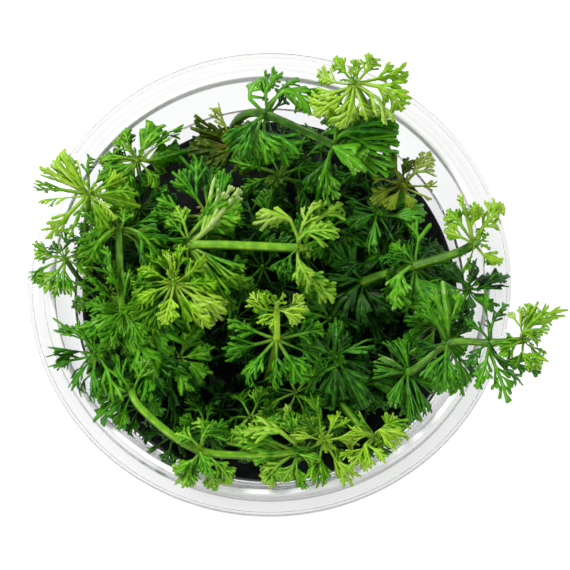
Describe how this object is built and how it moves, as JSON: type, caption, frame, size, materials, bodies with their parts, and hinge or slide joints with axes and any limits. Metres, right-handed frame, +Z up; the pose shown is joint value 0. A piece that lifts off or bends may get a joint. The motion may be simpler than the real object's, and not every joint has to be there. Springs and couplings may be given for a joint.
{
  "type": "potted ambulia plant",
  "caption": "Clear round cup of black growth medium, crowded with the stems and whorled, finely divided leaves of a water plant.",
  "frame": {"origin": "centre of the cup's flat base, on the surface it stands on", "axes": "+Z up along the cup's axis, -Y towards the side that the picture was taken from, +X to the picture's right"},
  "size_m": [0.109, 0.1, 0.0612],
  "materials": {
    "clear_plastic": "clear and glossy",
    "growth_medium": "black, moist and slightly glossy",
    "stem": "smooth, moist plant tissue",
    "leaf_lime": "young leaf, satin",
    "leaf_bright": "leaf, satin",
    "leaf_green": "leaf, satin",
    "leaf_dark": "old leaf, wet gloss",
    "leaf_olive": "olive leaf, satin"
  },
  "bodies": {
    "root": {"cup": "clear_plastic", "growth_medium": "growth_medium", "stem_crown": "stem", "stem_umbrella": "stem", "stem_russet": "stem", "stem_reach": "stem", "stem_inner": "stem", "stem_side": "stem", "stem_spray": "stem", "stem_lime_right": "stem", "stem_lime_front": "stem", "stem_front": "stem", "stem_left": "stem", "stem_plume": "stem", "stem_beam": "stem", "stem_veil": "stem", "stem_corner": "stem", "stem_edge": "stem", "stem_rim": "stem", "stem_centre": "stem", "stem_arrow": "stem", "stem_fold": "stem", "stem_bundle": "stem", "stem_hook": "stem", "stem_shade": "stem", "leaves_crown_1": "leaf_green", "leaves_crown_2": "leaf_green", "leaves_umbrella_1": "leaf_lime", "leaves_russet_1": "leaf_olive", "leaves_reach_1": "leaf_dark", "leaves_reach_2": "leaf_green", "leaves_reach_3": "leaf_lime", "leaves_inner_1": "leaf_dark", "leaves_side_1": "leaf_dark", "leaves_spray_1": "leaf_dark", "leaves_spray_2": "leaf_green", "leaves_spray_3": "leaf_green", "leaves_spray_4": "leaf_lime", "leaves_lime_right_1": "leaf_lime", "leaves_lime_front_1": "leaf_lime", "leaves_front_1": "leaf_green", "leaves_front_2": "leaf_bright", "leaves_front_3": "leaf_bright", "leaves_left_1": "leaf_green", "leaves_left_2": "leaf_bright", "leaves_plume_1": "leaf_lime", "leaves_beam_1": "leaf_bright", "leaves_beam_2": "leaf_bright", "leaves_veil_1": "leaf_lime", "leaves_corner_1": "leaf_bright", "leaves_edge_1": "leaf_bright", "leaves_rim_1": "leaf_green", "leaves_centre_1": "leaf_bright", "leaves_centre_2": "leaf_lime", "leaves_arrow_1": "leaf_bright", "leaves_fold_1": "leaf_dark", "leaves_bundle_1": "leaf_olive", "leaves_hook_1": "leaf_bright", "leaves_shade_1": "leaf_dark"}
  },
  "joints": []
}
